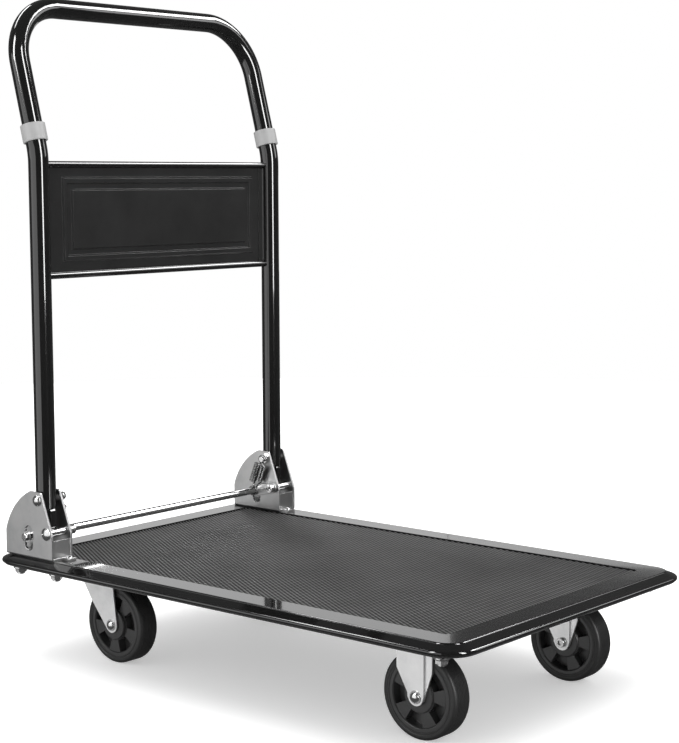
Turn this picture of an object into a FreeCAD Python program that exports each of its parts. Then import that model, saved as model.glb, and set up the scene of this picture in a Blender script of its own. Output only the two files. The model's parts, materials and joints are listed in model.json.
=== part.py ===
"""Folding platform cart: pressed deck on two rigid and two swivel casters, with a handle that folds flat.

Units are millimetres. +X points forward, away from the handle, +Y to the left of the person who pushes, +Z up.
The origin is on the floor below the middle of the deck. Left parts lie at +Y and right parts at -Y.
"""
import FreeCAD
import Part
import math
import os

from FreeCAD import Vector as V

# ---- driving dimensions -------------------------------------------------------------------------
DECK_LENGTH = 740.0
DECK_WIDTH = 480.0
DECK_CORNER = 37.0
MAT_LENGTH = 650.0
MAT_WIDTH = 390.0
MAT_TOP = 135.5
MAT_THICKNESS = 3.0
BORDER_TOP = 136.7
SHEET = 1.6
PAN_SHEET = 2.0
RIM_BOTTOM = 123.5
RIM_NOSE_RADIUS = 3.0
RIM_NOSE_Z = 128.2
RIM_UPPER_DEG = 68.8
RIM_LOWER_DEG = -50.0
LIP_REACH = 29.0
RAIL_REAR = -351.0
RAIL_FRONT = 339.0
RAIL_BOTTOM = 118.5
RAIL_HALF = 11.0
RAIL_SHEET = 2.0
RAIL_CORNER = 21.0
STUD_X = 331.0

WHEEL_RADIUS = 50.0
TYRE_WIDTH = 29.0
TYRE_INNER = 41.0
WHEEL_Y = 146.0
FRONT_AXLE_X = 261.0
KINGPIN_X = -255.0
TRAIL = 30.0
CASTER_HEIGHT = 128.0
PLATE_THICKNESS = 3.0
LEG_REAR = 28.0
LEG_FRONT = 20.5
AXLE_WASHER = 1.0
AXLE_NUT_LENGTH = 4.5
AXLE_THREAD = 2.5
PLATE_LENGTH = 105.0
PLATE_WIDTH = 80.0
PLATE_HOLE_X = 40.0
PLATE_HOLE_Y = 30.0
LEG_INNER = 17.6
LEG_SHEET = 2.2
LEG_STEP = 2.4
LEG_END = 10.0
RACE_RADIUS = 25.0
RACE_HEIGHT = 5.2
BALL_RADIUS = 2.5
BALL_GAP = 0.03
BALLS = 18
KINGPIN_RADIUS = 6.0
CROWN_TOP = 108.5
CROWN_SHEET = 3.0

HUB_BORE = 6.0
BOSS_RADIUS = 19.5
BOSS_OUT = {"front": 14.7, "rear": 16.9}
NOSE_RADIUS = 8.4
SPOKE_OUT = 12.5
HUB_DISC = 3.0
WINDOW_IN = 20.5
WINDOW_OUT = 35.7
WINDOW_SHARE = 0.56
FIRST_WINDOW = {"front": 41.0, "rear": 15.0}
SPOKES = 5

HANDLE_X = -290.5
HANDLE_Y = 212.0
TUBE_RADIUS = 12.7
TUBE_WALL = 1.5
TUBE_FOOT_Z = 201.0
KINK_Z = 643.0
LEAN_DEG = 15.0
LOOP_LENGTH = 191.5
LOOP_BEND = 74.0
COLLAR_RADIUS = 15.5
COLLAR_HEIGHT = 22.0
COLLAR_ALONG = 27.0
PIVOT_X = -287.5
PIVOT_Z = 212.0

PANEL_TOP = 635.0
PANEL_BOTTOM = 488.0
RAIL_RADIUS = 4.2
PANEL_FACE = -291.0
PANEL_SHEET = 1.2
PRESS_DEPTH = 2.0
STRIP_INNER = 188.0
# Pressed steps of the panel, each as (half width, bottom, top).
FRAME_OUTER = (175.0, 508.5, 615.0)
FRAME_INNER = (166.0, 517.5, 606.0)
FIELD = (160.0, 523.5, 600.0)

BRACKET_REAR = -350.0
BRACKET_FRONT = -262.0
BRACKET_TOP = 222.5
BRACKET_HALF = 17.0
BRACKET_SHEET = 3.0
BRACKET_BEND = 2.8
BRACKET_BOLT_X = (-343.0, -274.0)
TAB_SCREW = (-255.8, 206.0)
LEVER_X = -272.0
LEVER_Z = 171.0
LEVER_OUT = 194.5
LEVER_SHEET = 3.0
LEVER_NUT_Y = 191.2
LEVER_THREAD = 4.0
BAR_X = -307.0
BAR_Z = 164.0
BAR_RADIUS = 5.0
SLOT_X = -305.6
SLOT_HALF = 7.5
SLOT_LOW = 153.5
SLOT_HIGH = 170.5
FOOT_REACH = 45.0
CLIP_GAP = 1.0
SPRING_Y = 188.3
SPRING_RADIUS = 4.1
SPRING_WIRE = 0.75
SPRING_TURNS = 15

BOLT = 4.0
SCREW_RADIUS = 2.0
HEX = 13.0
HOLE_GAP = 0.05
RUN_GAP = 0.08
SIDES = {"left": 1.0, "right": -1.0}

X = V(1, 0, 0)
Y = V(0, 1, 0)
Z = V(0, 0, 1)


# ---- helpers ------------------------------------------------------------------------------------
def save(shape, node):
    shape.exportStep("parts/" + node + ".step")


def box(x0, x1, y0, y1, z0, z1):
    return Part.makeBox(x1 - x0, y1 - y0, z1 - z0, V(x0, y0, z0))


def rod(radius, start, end):
    way = end - start
    return Part.makeCylinder(radius, way.Length, start, way)


def y_rod(radius, x, z, y0, y1):
    return rod(radius, V(x, y0, z), V(x, y1, z))


def ring(outer, inner, start, end):
    return rod(outer, start, end).cut(rod(inner, start, end))


def fuse(shapes):
    whole = shapes[0].multiFuse(shapes[1:]) if len(shapes) > 1 else shapes[0]
    return whole.removeSplitter()


def outline_face(points):
    """Flat face from a closed outline. A point is a vector, or a pair (middle, end) for an arc."""
    edges = []
    last = points[0]
    for item in list(points[1:]) + [points[0]]:
        if isinstance(item, tuple):
            edges.append(Part.Arc(last, item[0], item[1]).toShape())
            last = item[1]
        elif (item - last).Length > 1e-6:
            edges.append(Part.LineSegment(last, item).toShape())
            last = item
    return Part.Face(Part.Wire(edges))


def rounded_plate(length, width, radius, z0, z1, centre=(0.0, 0.0)):
    plate = box(-length / 2, length / 2, -width / 2, width / 2, z0, z1)
    corners = [e for e in plate.Edges if abs(e.tangentAt(e.FirstParameter).z) > 0.99]
    plate = plate.makeFillet(radius, corners)
    plate.translate(V(centre[0], centre[1], 0))
    return plate


def bent_rod(points, bends, radius):
    """Round bar along straight runs joined by tangent arcs; bends holds the radius at each inner point."""
    edges = []
    start = points[0]
    for i in range(1, len(points) - 1):
        before = (points[i - 1] - points[i]).normalize()
        after = (points[i + 1] - points[i]).normalize()
        half = before.getAngle(after) / 2
        reach = bends[i - 1] / math.tan(half)
        first = points[i] + before * reach
        second = points[i] + after * reach
        middle_way = (before + after).normalize()
        centre = points[i] + middle_way * (bends[i - 1] / math.sin(half))
        middle = centre - middle_way * bends[i - 1]
        edges.append(Part.LineSegment(start, first).toShape())
        edges.append(Part.Arc(first, middle, second).toShape())
        start = second
    edges.append(Part.LineSegment(start, points[-1]).toShape())
    path = Part.Wire(edges)
    circle = Part.Wire([Part.Circle(points[0], points[1] - points[0], radius).toShape()])
    return path.makePipeShell([circle], True, False)


def hex_prism(across_flats, start, end, turn=0.0):
    """Hexagonal bar between two points on one axis parallel to X, Y or Z."""
    axis = (end - start).normalize()
    side = Z if abs(axis.z) < 0.5 else X
    other = axis.cross(side)
    corner = across_flats / math.sqrt(3)
    points = []
    for i in range(6):
        angle = math.radians(60 * i + turn)
        points.append(start + side * (corner * math.cos(angle)) + other * (corner * math.sin(angle)))
    return outline_face(points).extrude(end - start)


def lock_nut(start, end, bore, across_flats=HEX):
    """Hexagonal nut with a round collar at its far end, and its bore."""
    way = end - start
    body = hex_prism(across_flats, start, start + way * 0.7)
    collar = rod(across_flats / 2 - 0.4, start + way * 0.7, end)
    return fuse([body, collar]).cut(rod(bore, start - way, end + way))


def flange_nut(start, end, bore):
    """Hexagonal nut on a wide tapered flange."""
    way = (end - start).normalize()
    flange = rod(9.4, start, start + way * 2.2)
    taper = Part.makeCone(9.4, 7.6, 1.6, start + way * 2.2, way)
    tip = rod(5.4, end - way * 1.8, end)
    body = fuse([flange, taper, hex_prism(HEX, start + way, end - way * 1.8), tip])
    return body.cut(rod(bore, start - way, end + way))


def barrel_nut(start, end, radius, thread_depth):
    """Round nut that closes over the bolt's end, with a round driving hole in its face."""
    way = (end - start).normalize()
    body = rod(radius, start, end)
    body = body.cut(rod(BOLT, start, start + way * thread_depth))
    return body.cut(rod(radius * 0.45, start, end))


def dome_head(radius, height, seat, way):
    """Round bolt head: a short rim and a low dome, standing on seat and pointing along way."""
    side = X if abs(way.x) < 0.5 else Z
    rim = 0.3 * height
    cap = height - rim
    ball = (radius * radius + cap * cap) / (2 * cap)
    half_turn = math.asin(radius / ball) / 2
    middle = seat + side * (ball * math.sin(half_turn)) + way * (height - ball + ball * math.cos(half_turn))
    corner = seat + side * radius
    face = outline_face([seat, corner, corner + way * rim, (middle, seat + way * height)])
    return face.revolve(seat, way, 360)


def mirrored(shape, side):
    """The same shape on the other side of the cart for the right-hand side."""
    return shape if side > 0 else shape.mirror(V(0, 0, 0), Y)


# ---- deck ---------------------------------------------------------------------------------------
def rim_profile():
    """Section of the rolled rim in the XZ plane, where x is the distance from a corner's centre."""
    top = BORDER_TOP
    low = RIM_BOTTOM
    nose = V(DECK_CORNER - RIM_NOSE_RADIUS, 0, RIM_NOSE_Z)
    inner_radius = RIM_NOSE_RADIUS - SHEET
    upper = math.radians(RIM_UPPER_DEG)
    lower = math.radians(RIM_LOWER_DEG)
    upper_way = V(math.cos(upper), 0, math.sin(upper))
    lower_way = V(math.cos(lower), 0, math.sin(lower))
    under = V(math.sin(lower), 0, -math.cos(lower))
    slope_start = V(24.0, 0, top - 1.4)
    outer_low = nose + lower_way * RIM_NOSE_RADIUS
    inner_low = nose + lower_way * inner_radius
    return outline_face([
        V(8.0, 0, top),
        V(22.0, 0, top),
        (V(23.4, 0, top - 0.4), slope_start),
        nose + upper_way * RIM_NOSE_RADIUS,
        (nose + X * RIM_NOSE_RADIUS, outer_low),
        outer_low + under * ((outer_low.z - low) / -under.z),
        V(LIP_REACH, 0, low),
        V(LIP_REACH, 0, low + SHEET),
        inner_low + under * ((inner_low.z - low - SHEET) / -under.z),
        inner_low,
        (nose + X * inner_radius, nose + upper_way * inner_radius),
        slope_start - upper_way * SHEET,
        V(22.0, 0, top - SHEET),
        V(8.0, 0, top - SHEET),
    ])


def deck_rim():
    """The rim section carried round the deck: four straight runs and four turned corners."""
    half_x = DECK_LENGTH / 2 - DECK_CORNER
    half_y = DECK_WIDTH / 2 - DECK_CORNER
    runs = []
    for turn in (0, 90, 180, 270):
        reach, run = (half_x, half_y) if turn % 180 == 0 else (half_y, half_x)
        straight = rim_profile()
        straight.translate(V(reach, -run, 0))
        straight = straight.extrude(V(0, 2 * run, 0))
        straight.rotate(V(0, 0, 0), Z, turn)
        corner = rim_profile().revolve(V(0, 0, 0), Z, 90)
        corner.translate(V(reach, run, 0))
        corner.rotate(V(0, 0, 0), Z, turn)
        runs += [straight, corner]
    return runs


def deck_shell():
    inner_length = DECK_LENGTH - 2 * DECK_CORNER + 16.0
    inner_width = DECK_WIDTH - 2 * DECK_CORNER + 16.0
    plate = rounded_plate(inner_length, inner_width, 8.0, BORDER_TOP - SHEET, BORDER_TOP)
    pan_top = MAT_TOP - MAT_THICKNESS
    gap = 0.4
    hole_length = MAT_LENGTH + 2 * gap
    hole_width = MAT_WIDTH + 2 * gap
    hole = rounded_plate(hole_length, hole_width, 5.0, pan_top, BORDER_TOP + 1.0)
    tray = rounded_plate(hole_length + 2 * PAN_SHEET, hole_width + 2 * PAN_SHEET, 7.0,
                         pan_top - PAN_SHEET, BORDER_TOP)
    shell = fuse(deck_rim() + [plate, tray]).cut(hole)
    for x, y in bracket_bolt_places():
        shell = shell.cut(Part.makeCylinder(BOLT + 0.2, 30, V(x, y, BORDER_TOP - 20)))
    for x, y in caster_bolt_places():
        shell = shell.cut(Part.makeCylinder(BOLT + 0.1, 20, V(x, y, pan_top - 10)))
    for x, y in tab_screw_places():
        shell = shell.cut(Part.makeCylinder(SCREW_RADIUS, 20, V(x, y, BORDER_TOP - 10)))
    return shell


def deck_mat():
    return rounded_plate(MAT_LENGTH, MAT_WIDTH, 4.6, MAT_TOP - MAT_THICKNESS, MAT_TOP)


def pan_underside():
    return MAT_TOP - MAT_THICKNESS - PAN_SHEET


def cross_members():
    """Two flat plates across the underside of the pan, which the casters bolt to."""
    plates = []
    for x in (FRONT_AXLE_X, KINGPIN_X):
        plate = rounded_plate(112.0, 380.0, 6.0, CASTER_HEIGHT, pan_underside(), (x, 0.0))
        for px, py in caster_bolt_places():
            plate = plate.cut(Part.makeCylinder(BOLT + 0.1, 20, V(px, py, CASTER_HEIGHT - 5)))
        plates.append(plate)
    return Part.makeCompound(plates)


def deck_stiffeners():
    """Two hat sections along the underside of the pan, between the cross members."""
    top = pan_underside()
    ribs = []
    for y in (-70.0, 70.0):
        section = [
            V(0, y - 30, top), V(0, y - 30, top - 1.5), V(0, y - 18, top - 1.5), V(0, y - 14, top - 15),
            V(0, y + 14, top - 15), V(0, y + 18, top - 1.5), V(0, y + 30, top - 1.5), V(0, y + 30, top),
            V(0, y + 16.6, top), V(0, y + 12.8, top - 13.5), V(0, y - 12.8, top - 13.5), V(0, y - 16.6, top),
        ]
        rib = outline_face(section).extrude(V(370, 0, 0))
        rib.translate(V(-182, 0, 0))
        ribs.append(rib)
    return Part.makeCompound(ribs)


def bracket_bolt_places():
    return [(x, s * HANDLE_Y) for x in BRACKET_BOLT_X for s in (1.0, -1.0)]


def tab_screw_places():
    return [(TAB_SCREW[0], s * TAB_SCREW[1]) for s in (1.0, -1.0)]


def side_rail():
    """Channel under the left border, open at the top, with its rear corner rounded to follow the deck's."""
    under = BORDER_TOP - SHEET
    inn = HANDLE_Y - RAIL_HALF
    out = HANDLE_Y + RAIL_HALF
    centre = V(DECK_CORNER - DECK_LENGTH / 2, DECK_WIDTH / 2 - DECK_CORNER, RAIL_BOTTOM)
    side_y = centre.y + math.sqrt(RAIL_CORNER ** 2 - (centre.x - RAIL_REAR) ** 2)
    end_x = centre.x - math.sqrt(RAIL_CORNER ** 2 - (out - centre.y) ** 2)
    middle = centre + V(-1, 1, 0).normalize() * RAIL_CORNER
    face = outline_face([
        V(RAIL_REAR, inn, RAIL_BOTTOM), V(RAIL_REAR, side_y, RAIL_BOTTOM), (middle, V(end_x, out, RAIL_BOTTOM)),
        V(RAIL_FRONT, out, RAIL_BOTTOM), V(RAIL_FRONT, inn, RAIL_BOTTOM),
    ])
    rail = face.extrude(V(0, 0, under - RAIL_BOTTOM))
    rail = rail.cut(box(RAIL_REAR - 1, RAIL_FRONT + 1, inn + RAIL_SHEET, out - RAIL_SHEET,
                        RAIL_BOTTOM + RAIL_SHEET, under + 1))
    for x in BRACKET_BOLT_X + (STUD_X,):
        rail = rail.cut(Part.makeCylinder(BOLT + 0.2, 20, V(x, HANDLE_Y, RAIL_BOTTOM - 5)))
    return rail


def rail_studs():
    """Weld studs under the front of the border, one for each side rail."""
    low = RAIL_BOTTOM - 10.5
    studs = [rod(BOLT, V(STUD_X, s * HANDLE_Y, low), V(STUD_X, s * HANDLE_Y, BORDER_TOP - SHEET))
             for s in (1.0, -1.0)]
    return Part.makeCompound(studs)


def deck_nuts():
    """Flange nuts under the side rails, for the bracket bolts and the studs."""
    places = bracket_bolt_places() + [(STUD_X, HANDLE_Y), (STUD_X, -HANDLE_Y)]
    nuts = [flange_nut(V(x, y, RAIL_BOTTOM), V(x, y, RAIL_BOTTOM - 9.4), BOLT) for x, y in places]
    return Part.makeCompound(nuts)


# ---- brackets and their fasteners ----------------------------------------------------------------
def cheek_outline():
    slope_top = BRACKET_FRONT - 19.5
    top = BRACKET_TOP
    return [
        V(BRACKET_FRONT, 0, BORDER_TOP),
        V(BRACKET_FRONT, 0, 169.0),
        V(slope_top, 0, top - 2.0),
        (V(slope_top - 0.9, 0, top - 0.6), V(slope_top - 2.6, 0, top)),
        V(-302.0, 0, top),
        (V(-332.5, 0, 200.0), V(BRACKET_REAR, 0, 168.0)),
        V(BRACKET_REAR, 0, BORDER_TOP),
    ]


def bar_slot(y0, y1):
    """Upright slot with round ends that the foot bar moves in."""
    low = V(SLOT_X, y0, SLOT_LOW)
    high = V(SLOT_X, y0, SLOT_HIGH)
    way = V(0, y1 - y0, 0)
    block = box(SLOT_X - SLOT_HALF, SLOT_X + SLOT_HALF, y0, y1, SLOT_LOW, SLOT_HIGH)
    return fuse([rod(SLOT_HALF, low, low + way), rod(SLOT_HALF, high, high + way), block])


def bent_edges(shape, faces_y):
    """Lower edges of the cheeks, where the sheet is bent up from the base."""
    found = []
    for edge in shape.Edges:
        ends = [v.Point for v in edge.Vertexes]
        if all(abs(p.z - BORDER_TOP) < 0.01 and min(abs(p.y - y) for y in faces_y) < 0.01 for p in ends):
            found.append(edge)
    return [e for e in found if e.Length > 5.0 and abs(e.tangentAt(e.FirstParameter).x) > 0.99]


def bracket():
    """Left bracket: base, two cheeks, and a front web that stops short of the lever's pivot."""
    out = HANDLE_Y + BRACKET_HALF
    inn = HANDLE_Y - BRACKET_HALF
    t = BRACKET_SHEET
    outer = outline_face(cheek_outline()).extrude(V(0, t, 0))
    inner = outer.copy()
    outer.translate(V(0, out - t, 0))
    inner.translate(V(0, inn, 0))
    base = box(BRACKET_REAR, BRACKET_FRONT, inn, out, BORDER_TOP, BORDER_TOP + t)
    web = box(BRACKET_FRONT - t, BRACKET_FRONT - 0.6, inn + t, out - t, BORDER_TOP, 162.5)
    shape = fuse([outer, inner, base, web])
    shape = shape.makeFillet(BRACKET_BEND, bent_edges(shape, (inn, out)))
    tab = box(BRACKET_FRONT - t, BRACKET_FRONT + 12, TAB_SCREW[1] - 6.5, TAB_SCREW[1] + 6.5,
              BORDER_TOP, BORDER_TOP + t)
    shape = fuse([shape, tab])
    shape = shape.cut(bar_slot(inn - 5, out + 5))
    for x, z in ((PIVOT_X, PIVOT_Z), (LEVER_X, LEVER_Z)):
        shape = shape.cut(y_rod(BOLT + HOLE_GAP, x, z, inn - 5, out + 5))
    for x in BRACKET_BOLT_X:
        shape = shape.cut(Part.makeCylinder(BOLT + 0.2, 20, V(x, HANDLE_Y, BORDER_TOP - 5)))
    x, y = tab_screw_places()[0]
    return shape.cut(Part.makeCylinder(SCREW_RADIUS, 20, V(x, y, BORDER_TOP - 5)))


def bracket_bolts():
    """Bolts through the bracket bases, the border and the side rails, with hexagonal heads."""
    seat = BORDER_TOP + BRACKET_SHEET
    bolts = []
    for x, y in bracket_bolt_places():
        head = hex_prism(HEX, V(x, y, seat), V(x, y, seat + 5.3))
        shank = rod(BOLT, V(x, y, RAIL_BOTTOM - 10.5), V(x, y, seat))
        bolts.append(fuse([head, shank]))
    return Part.makeCompound(bolts)


def tab_screws():
    """Round-headed screws that hold the tabs in front of the brackets to the border."""
    seat = BORDER_TOP + BRACKET_SHEET
    screws = []
    for x, y in tab_screw_places():
        shank = rod(SCREW_RADIUS, V(x, y, BORDER_TOP - 9.0), V(x, y, seat))
        screws.append(fuse([dome_head(4.2, 3.0, V(x, y, seat), Z), shank]))
    return Part.makeCompound(screws)


def cross_bolt(x, z, head_radius, head_height, end_y):
    """Left bolt across a bracket: round head outside the outer cheek, plain end inside the inner cheek."""
    seat = HANDLE_Y + BRACKET_HALF
    return fuse([dome_head(head_radius, head_height, V(x, seat, z), Y), y_rod(BOLT, x, z, end_y, seat)])


def both_sides(shape):
    return Part.makeCompound([mirrored(shape, side) for side in SIDES.values()])


def pivot_nuts():
    """Nuts on the inner ends of the handle bolts and the lever bolts."""
    cheek_face = HANDLE_Y - BRACKET_HALF
    handle_nut = lock_nut(V(PIVOT_X, cheek_face, PIVOT_Z), V(PIVOT_X, cheek_face - 5, PIVOT_Z), BOLT)
    lever_face = V(LEVER_X, LEVER_NUT_Y, LEVER_Z)
    lever_nut = barrel_nut(lever_face, lever_face - Y * 7.0, 5.6, LEVER_THREAD)
    solids = [mirrored(n, s) for n in (handle_nut, lever_nut) for s in SIDES.values()]
    return Part.makeCompound(solids)


def pivot_spacers():
    """Tube on each lever bolt between the cheeks: it keeps the cheeks apart and stops the handle's foot."""
    half = BRACKET_HALF - BRACKET_SHEET
    start = V(LEVER_X, HANDLE_Y - half, LEVER_Z)
    spacer = ring(BAR_RADIUS, BOLT + HOLE_GAP, start, start + Y * (2 * half))
    return both_sides(spacer)


# ---- handle --------------------------------------------------------------------------------------
def lean_way():
    angle = math.radians(LEAN_DEG)
    return V(-math.sin(angle), 0, math.cos(angle))


def kink_point(y):
    return V(HANDLE_X, y, KINK_Z)


def lower_tube():
    """Left lower tube, straight up from the bracket and then bent back by the lean angle."""
    foot = V(HANDLE_X, HANDLE_Y, TUBE_FOOT_Z)
    kink = kink_point(HANDLE_Y)
    end = kink + lean_way() * COLLAR_ALONG
    outer = bent_rod([foot, kink, end], [90.0], TUBE_RADIUS)
    inner = bent_rod([foot - Z, kink, end + lean_way()], [90.0], TUBE_RADIUS - TUBE_WALL)
    hole = y_rod(BOLT + RUN_GAP, PIVOT_X, PIVOT_Z, HANDLE_Y - 20, HANDLE_Y + 20)
    return outer.cut(inner).cut(hole)


def upper_loop():
    """Grip loop: two leaning legs and a level bar, bent from one tube."""
    way = lean_way()
    gap = 0.2
    points = []
    for side in (1.0, -1.0):
        kink = kink_point(side * HANDLE_Y)
        pair = [kink + way * (COLLAR_ALONG + gap), kink + way * LOOP_LENGTH]
        points += pair if side > 0 else pair[::-1]
    outer = bent_rod(points, [LOOP_BEND, LOOP_BEND], TUBE_RADIUS)
    longer = [points[0] - way, points[1], points[2], points[3] - way]
    return outer.cut(bent_rod(longer, [LOOP_BEND, LOOP_BEND], TUBE_RADIUS - TUBE_WALL))


def collar():
    """Left plastic collar over the joint between the lower tube and the loop."""
    way = lean_way()
    middle = kink_point(HANDLE_Y) + way * COLLAR_ALONG
    start = middle - way * (COLLAR_HEIGHT / 2)
    end = middle + way * (COLLAR_HEIGHT / 2)
    return ring(COLLAR_RADIUS, TUBE_RADIUS, start, end)


def press_block(outline, grow, back):
    """Block under one pressed step, growing outwards by grow over the depth of the step."""
    wires = []
    for depth, wider in ((-1.0, 0.0), (0.0, 0.0), (PRESS_DEPTH, grow)):
        x = PANEL_FACE + depth - back
        half = outline[0] + wider
        low = outline[1] - wider
        high = outline[2] + wider
        wires.append(Part.makePolygon([V(x, -half, low), V(x, half, low), V(x, half, high), V(x, -half, high),
                                       V(x, -half, low)]))
    return Part.makeLoft([Part.Wire(w) for w in wires], True, True)


def pressed_steps(back):
    """The raised frame and the raised field inside it, moved back by the given distance."""
    frame = press_block(FRAME_OUTER, -PRESS_DEPTH, back).cut(press_block(FRAME_INNER, PRESS_DEPTH, back))
    return Part.makeCompound([frame, press_block(FIELD, -PRESS_DEPTH, back)])


def back_panel():
    """Pressed sheet between the tubes: a flat sheet with a raised frame and field, and a strip at each side."""
    reach = HANDLE_Y - TUBE_RADIUS + 0.3
    back = PANEL_FACE - PANEL_SHEET
    low = PANEL_BOTTOM + RAIL_RADIUS
    high = PANEL_TOP - RAIL_RADIUS
    sheet = box(back, PANEL_FACE, -reach, reach, low, high)
    strips = [box(back, PANEL_FACE + 1.2, side * STRIP_INNER, side * reach, low, high) if side > 0 else
              box(back, PANEL_FACE + 1.2, side * reach, side * STRIP_INNER, low, high) for side in (1.0, -1.0)]
    raised = pressed_steps(0.0)
    hollow = pressed_steps(PANEL_SHEET)
    sheet = fuse([sheet] + strips + raised.Solids).cut(hollow)
    for side in (1.0, -1.0):
        tube_low = V(HANDLE_X, side * HANDLE_Y, low - 1)
        tube_high = V(HANDLE_X, side * HANDLE_Y, high + 1)
        sheet = sheet.cut(rod(TUBE_RADIUS, tube_low, tube_high))
    for z in (low, high):
        sheet = sheet.cut(y_rod(RAIL_RADIUS, HANDLE_X, z, -reach - 1, reach + 1))
    return sheet


def panel_rails():
    """Round bars along the top and bottom of the panel, fitted to the curve of the tubes."""
    rails = []
    for z in (PANEL_BOTTOM + RAIL_RADIUS, PANEL_TOP - RAIL_RADIUS):
        rail = y_rod(RAIL_RADIUS, HANDLE_X, z, -HANDLE_Y, HANDLE_Y)
        for side in (1.0, -1.0):
            at = side * HANDLE_Y
            rail = rail.cut(rod(TUBE_RADIUS, V(HANDLE_X, at, z - 10), V(HANDLE_X, at, z + 10)))
        rails.append(rail)
    return Part.makeCompound(rails)


def handle_foot():
    """Left foot: a flat bar set into the tube's end, wider below it, rounded about the handle's pivot."""
    half = 4.0
    stem = 10.45
    front = LEVER_X - BAR_RADIUS - 0.6
    rear = BAR_X + BAR_RADIUS + 1.0
    step = TUBE_FOOT_Z - 0.4
    points = [
        V(HANDLE_X - stem, 0, 240.0), V(HANDLE_X - stem, 0, step), V(rear, 0, step - 1.0), V(rear, 0, 160.0),
        V(front, 0, 160.0), V(front, 0, step - 3.0), V(HANDLE_X + stem, 0, step), V(HANDLE_X + stem, 0, 240.0),
    ]
    bar = outline_face(points).extrude(V(0, 2 * half, 0))
    bar.translate(V(0, HANDLE_Y - half, 0))
    lower = y_rod(FOOT_REACH, PIVOT_X, PIVOT_Z, HANDLE_Y - 20, HANDLE_Y + 20)
    bar = bar.common(lower)
    return bar.cut(y_rod(BOLT + RUN_GAP, PIVOT_X, PIVOT_Z, HANDLE_Y - 20, HANDLE_Y + 20))


# ---- foot lock -----------------------------------------------------------------------------------
def foot_bar():
    end = HANDLE_Y + BRACKET_HALF + 7.0
    bar = y_rod(BAR_RADIUS, BAR_X, BAR_Z, -end, end)
    rims = [e for e in bar.Edges if e.Curve.TypeId == "Part::GeomCircle"]
    return bar.makeChamfer(0.8, rims)


def lock_lever():
    """Left lever: a flat link from the lever bolt to the foot bar, with an eye at each end."""
    low = V(BAR_X, LEVER_OUT - LEVER_SHEET, BAR_Z)
    high = V(LEVER_X, LEVER_OUT - LEVER_SHEET, LEVER_Z)
    way = V(0, LEVER_SHEET, 0)
    along = (high - low).normalize()
    across = along.cross(Y)
    points = [low + across * 8.0, high + across * 7.0, high - across * 7.0, low - across * 8.0]
    link = outline_face(points).extrude(way)
    lever = fuse([rod(8.0, low, low + way), rod(7.0, high, high + way), link])
    lever = lever.cut(rod(BAR_RADIUS, low - way, low + way * 2))
    return lever.cut(rod(BOLT + RUN_GAP, high - way, high + way * 2))


def bar_clips():
    """Spring clips on the foot bar: one beside each lever and one outside each bracket."""
    clips = []
    for side in (1.0, -1.0):
        for y0, radius in ((LEVER_OUT - LEVER_SHEET - 1.4, 6.6), (HANDLE_Y + BRACKET_HALF + CLIP_GAP, 7.2)):
            start = V(BAR_X, side * y0, BAR_Z)
            clips.append(ring(radius, BAR_RADIUS, start, start + Y * (side * 1.2)))
    return Part.makeCompound(clips)


def lock_spring(shift, start_gap, hook_y):
    """Left coil spring with a hook round the foot bar and one round the handle bolt.

    shift is its offset across the line between the two, start_gap the distance from the bar to the first coil.
    """
    top = V(PIVOT_X, SPRING_Y, PIVOT_Z)
    low = V(BAR_X, SPRING_Y, BAR_Z)
    along = (top - low).normalize()
    across = V(along.z, 0, -along.x)
    start = low + along * start_gap + across * shift
    end = top - along * 9.5 + across * shift
    axis = end - start
    coil = Part.makeHelix(axis.Length / SPRING_TURNS, axis.Length, SPRING_RADIUS)
    section = Part.Wire([Part.Circle(V(SPRING_RADIUS, 0, 0), Y, SPRING_WIRE).toShape()])
    body = Part.Wire(coil.Edges).makePipeShell([section], True, True)
    body.Placement = FreeCAD.Placement(start, FreeCAD.Rotation(Z, axis)).multiply(body.Placement)
    side = body.Placement.Rotation.multVec(X)
    hooks = []
    for middle, seat, radius, inward in ((low, start, BAR_RADIUS, 1.0), (top, end, BOLT, -1.0)):
        centre = V(middle.x, hook_y, middle.z)
        loop = radius + SPRING_WIRE + 0.1
        tail = seat + side * SPRING_RADIUS
        meet = centre + along * (inward * loop)
        hooks += [Part.makeTorus(loop, SPRING_WIRE, centre, Y), rod(SPRING_WIRE, meet, tail)]
    return [body] + hooks


def lock_springs():
    """Two coil springs beside each other on the left side."""
    first = fuse(lock_spring(-5.6, 12.0, SPRING_Y - 1.5))
    second = fuse(lock_spring(5.6, 18.5, SPRING_Y + 0.6))
    return Part.makeCompound([first, second])


# ---- wheels --------------------------------------------------------------------------------------
def wheel_profile(points, x, y):
    """Solid turned about a wheel's axle from an outline given as (distance along the axle, radius)."""
    outline = [V(x, y + a, WHEEL_RADIUS + r) for a, r in points]
    return outline_face(outline).revolve(V(x, y, WHEEL_RADIUS), Y, 360)


def tyre(x, y):
    half = TYRE_WIDTH / 2
    base = V(x, y, WHEEL_RADIUS)

    def at(along, radius):
        return base + V(0, along, radius)

    outline = [
        at(-half, TYRE_INNER), at(-half, WHEEL_RADIUS - 4.5),
        (at(1.2 - half, WHEEL_RADIUS - 1.3), at(4.2 - half, WHEEL_RADIUS)), at(half - 4.2, WHEEL_RADIUS),
        (at(half - 1.2, WHEEL_RADIUS - 1.3), at(half, WHEEL_RADIUS - 4.5)), at(half, TYRE_INNER),
    ]
    return outline_face(outline).revolve(base, Y, 360)


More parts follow.
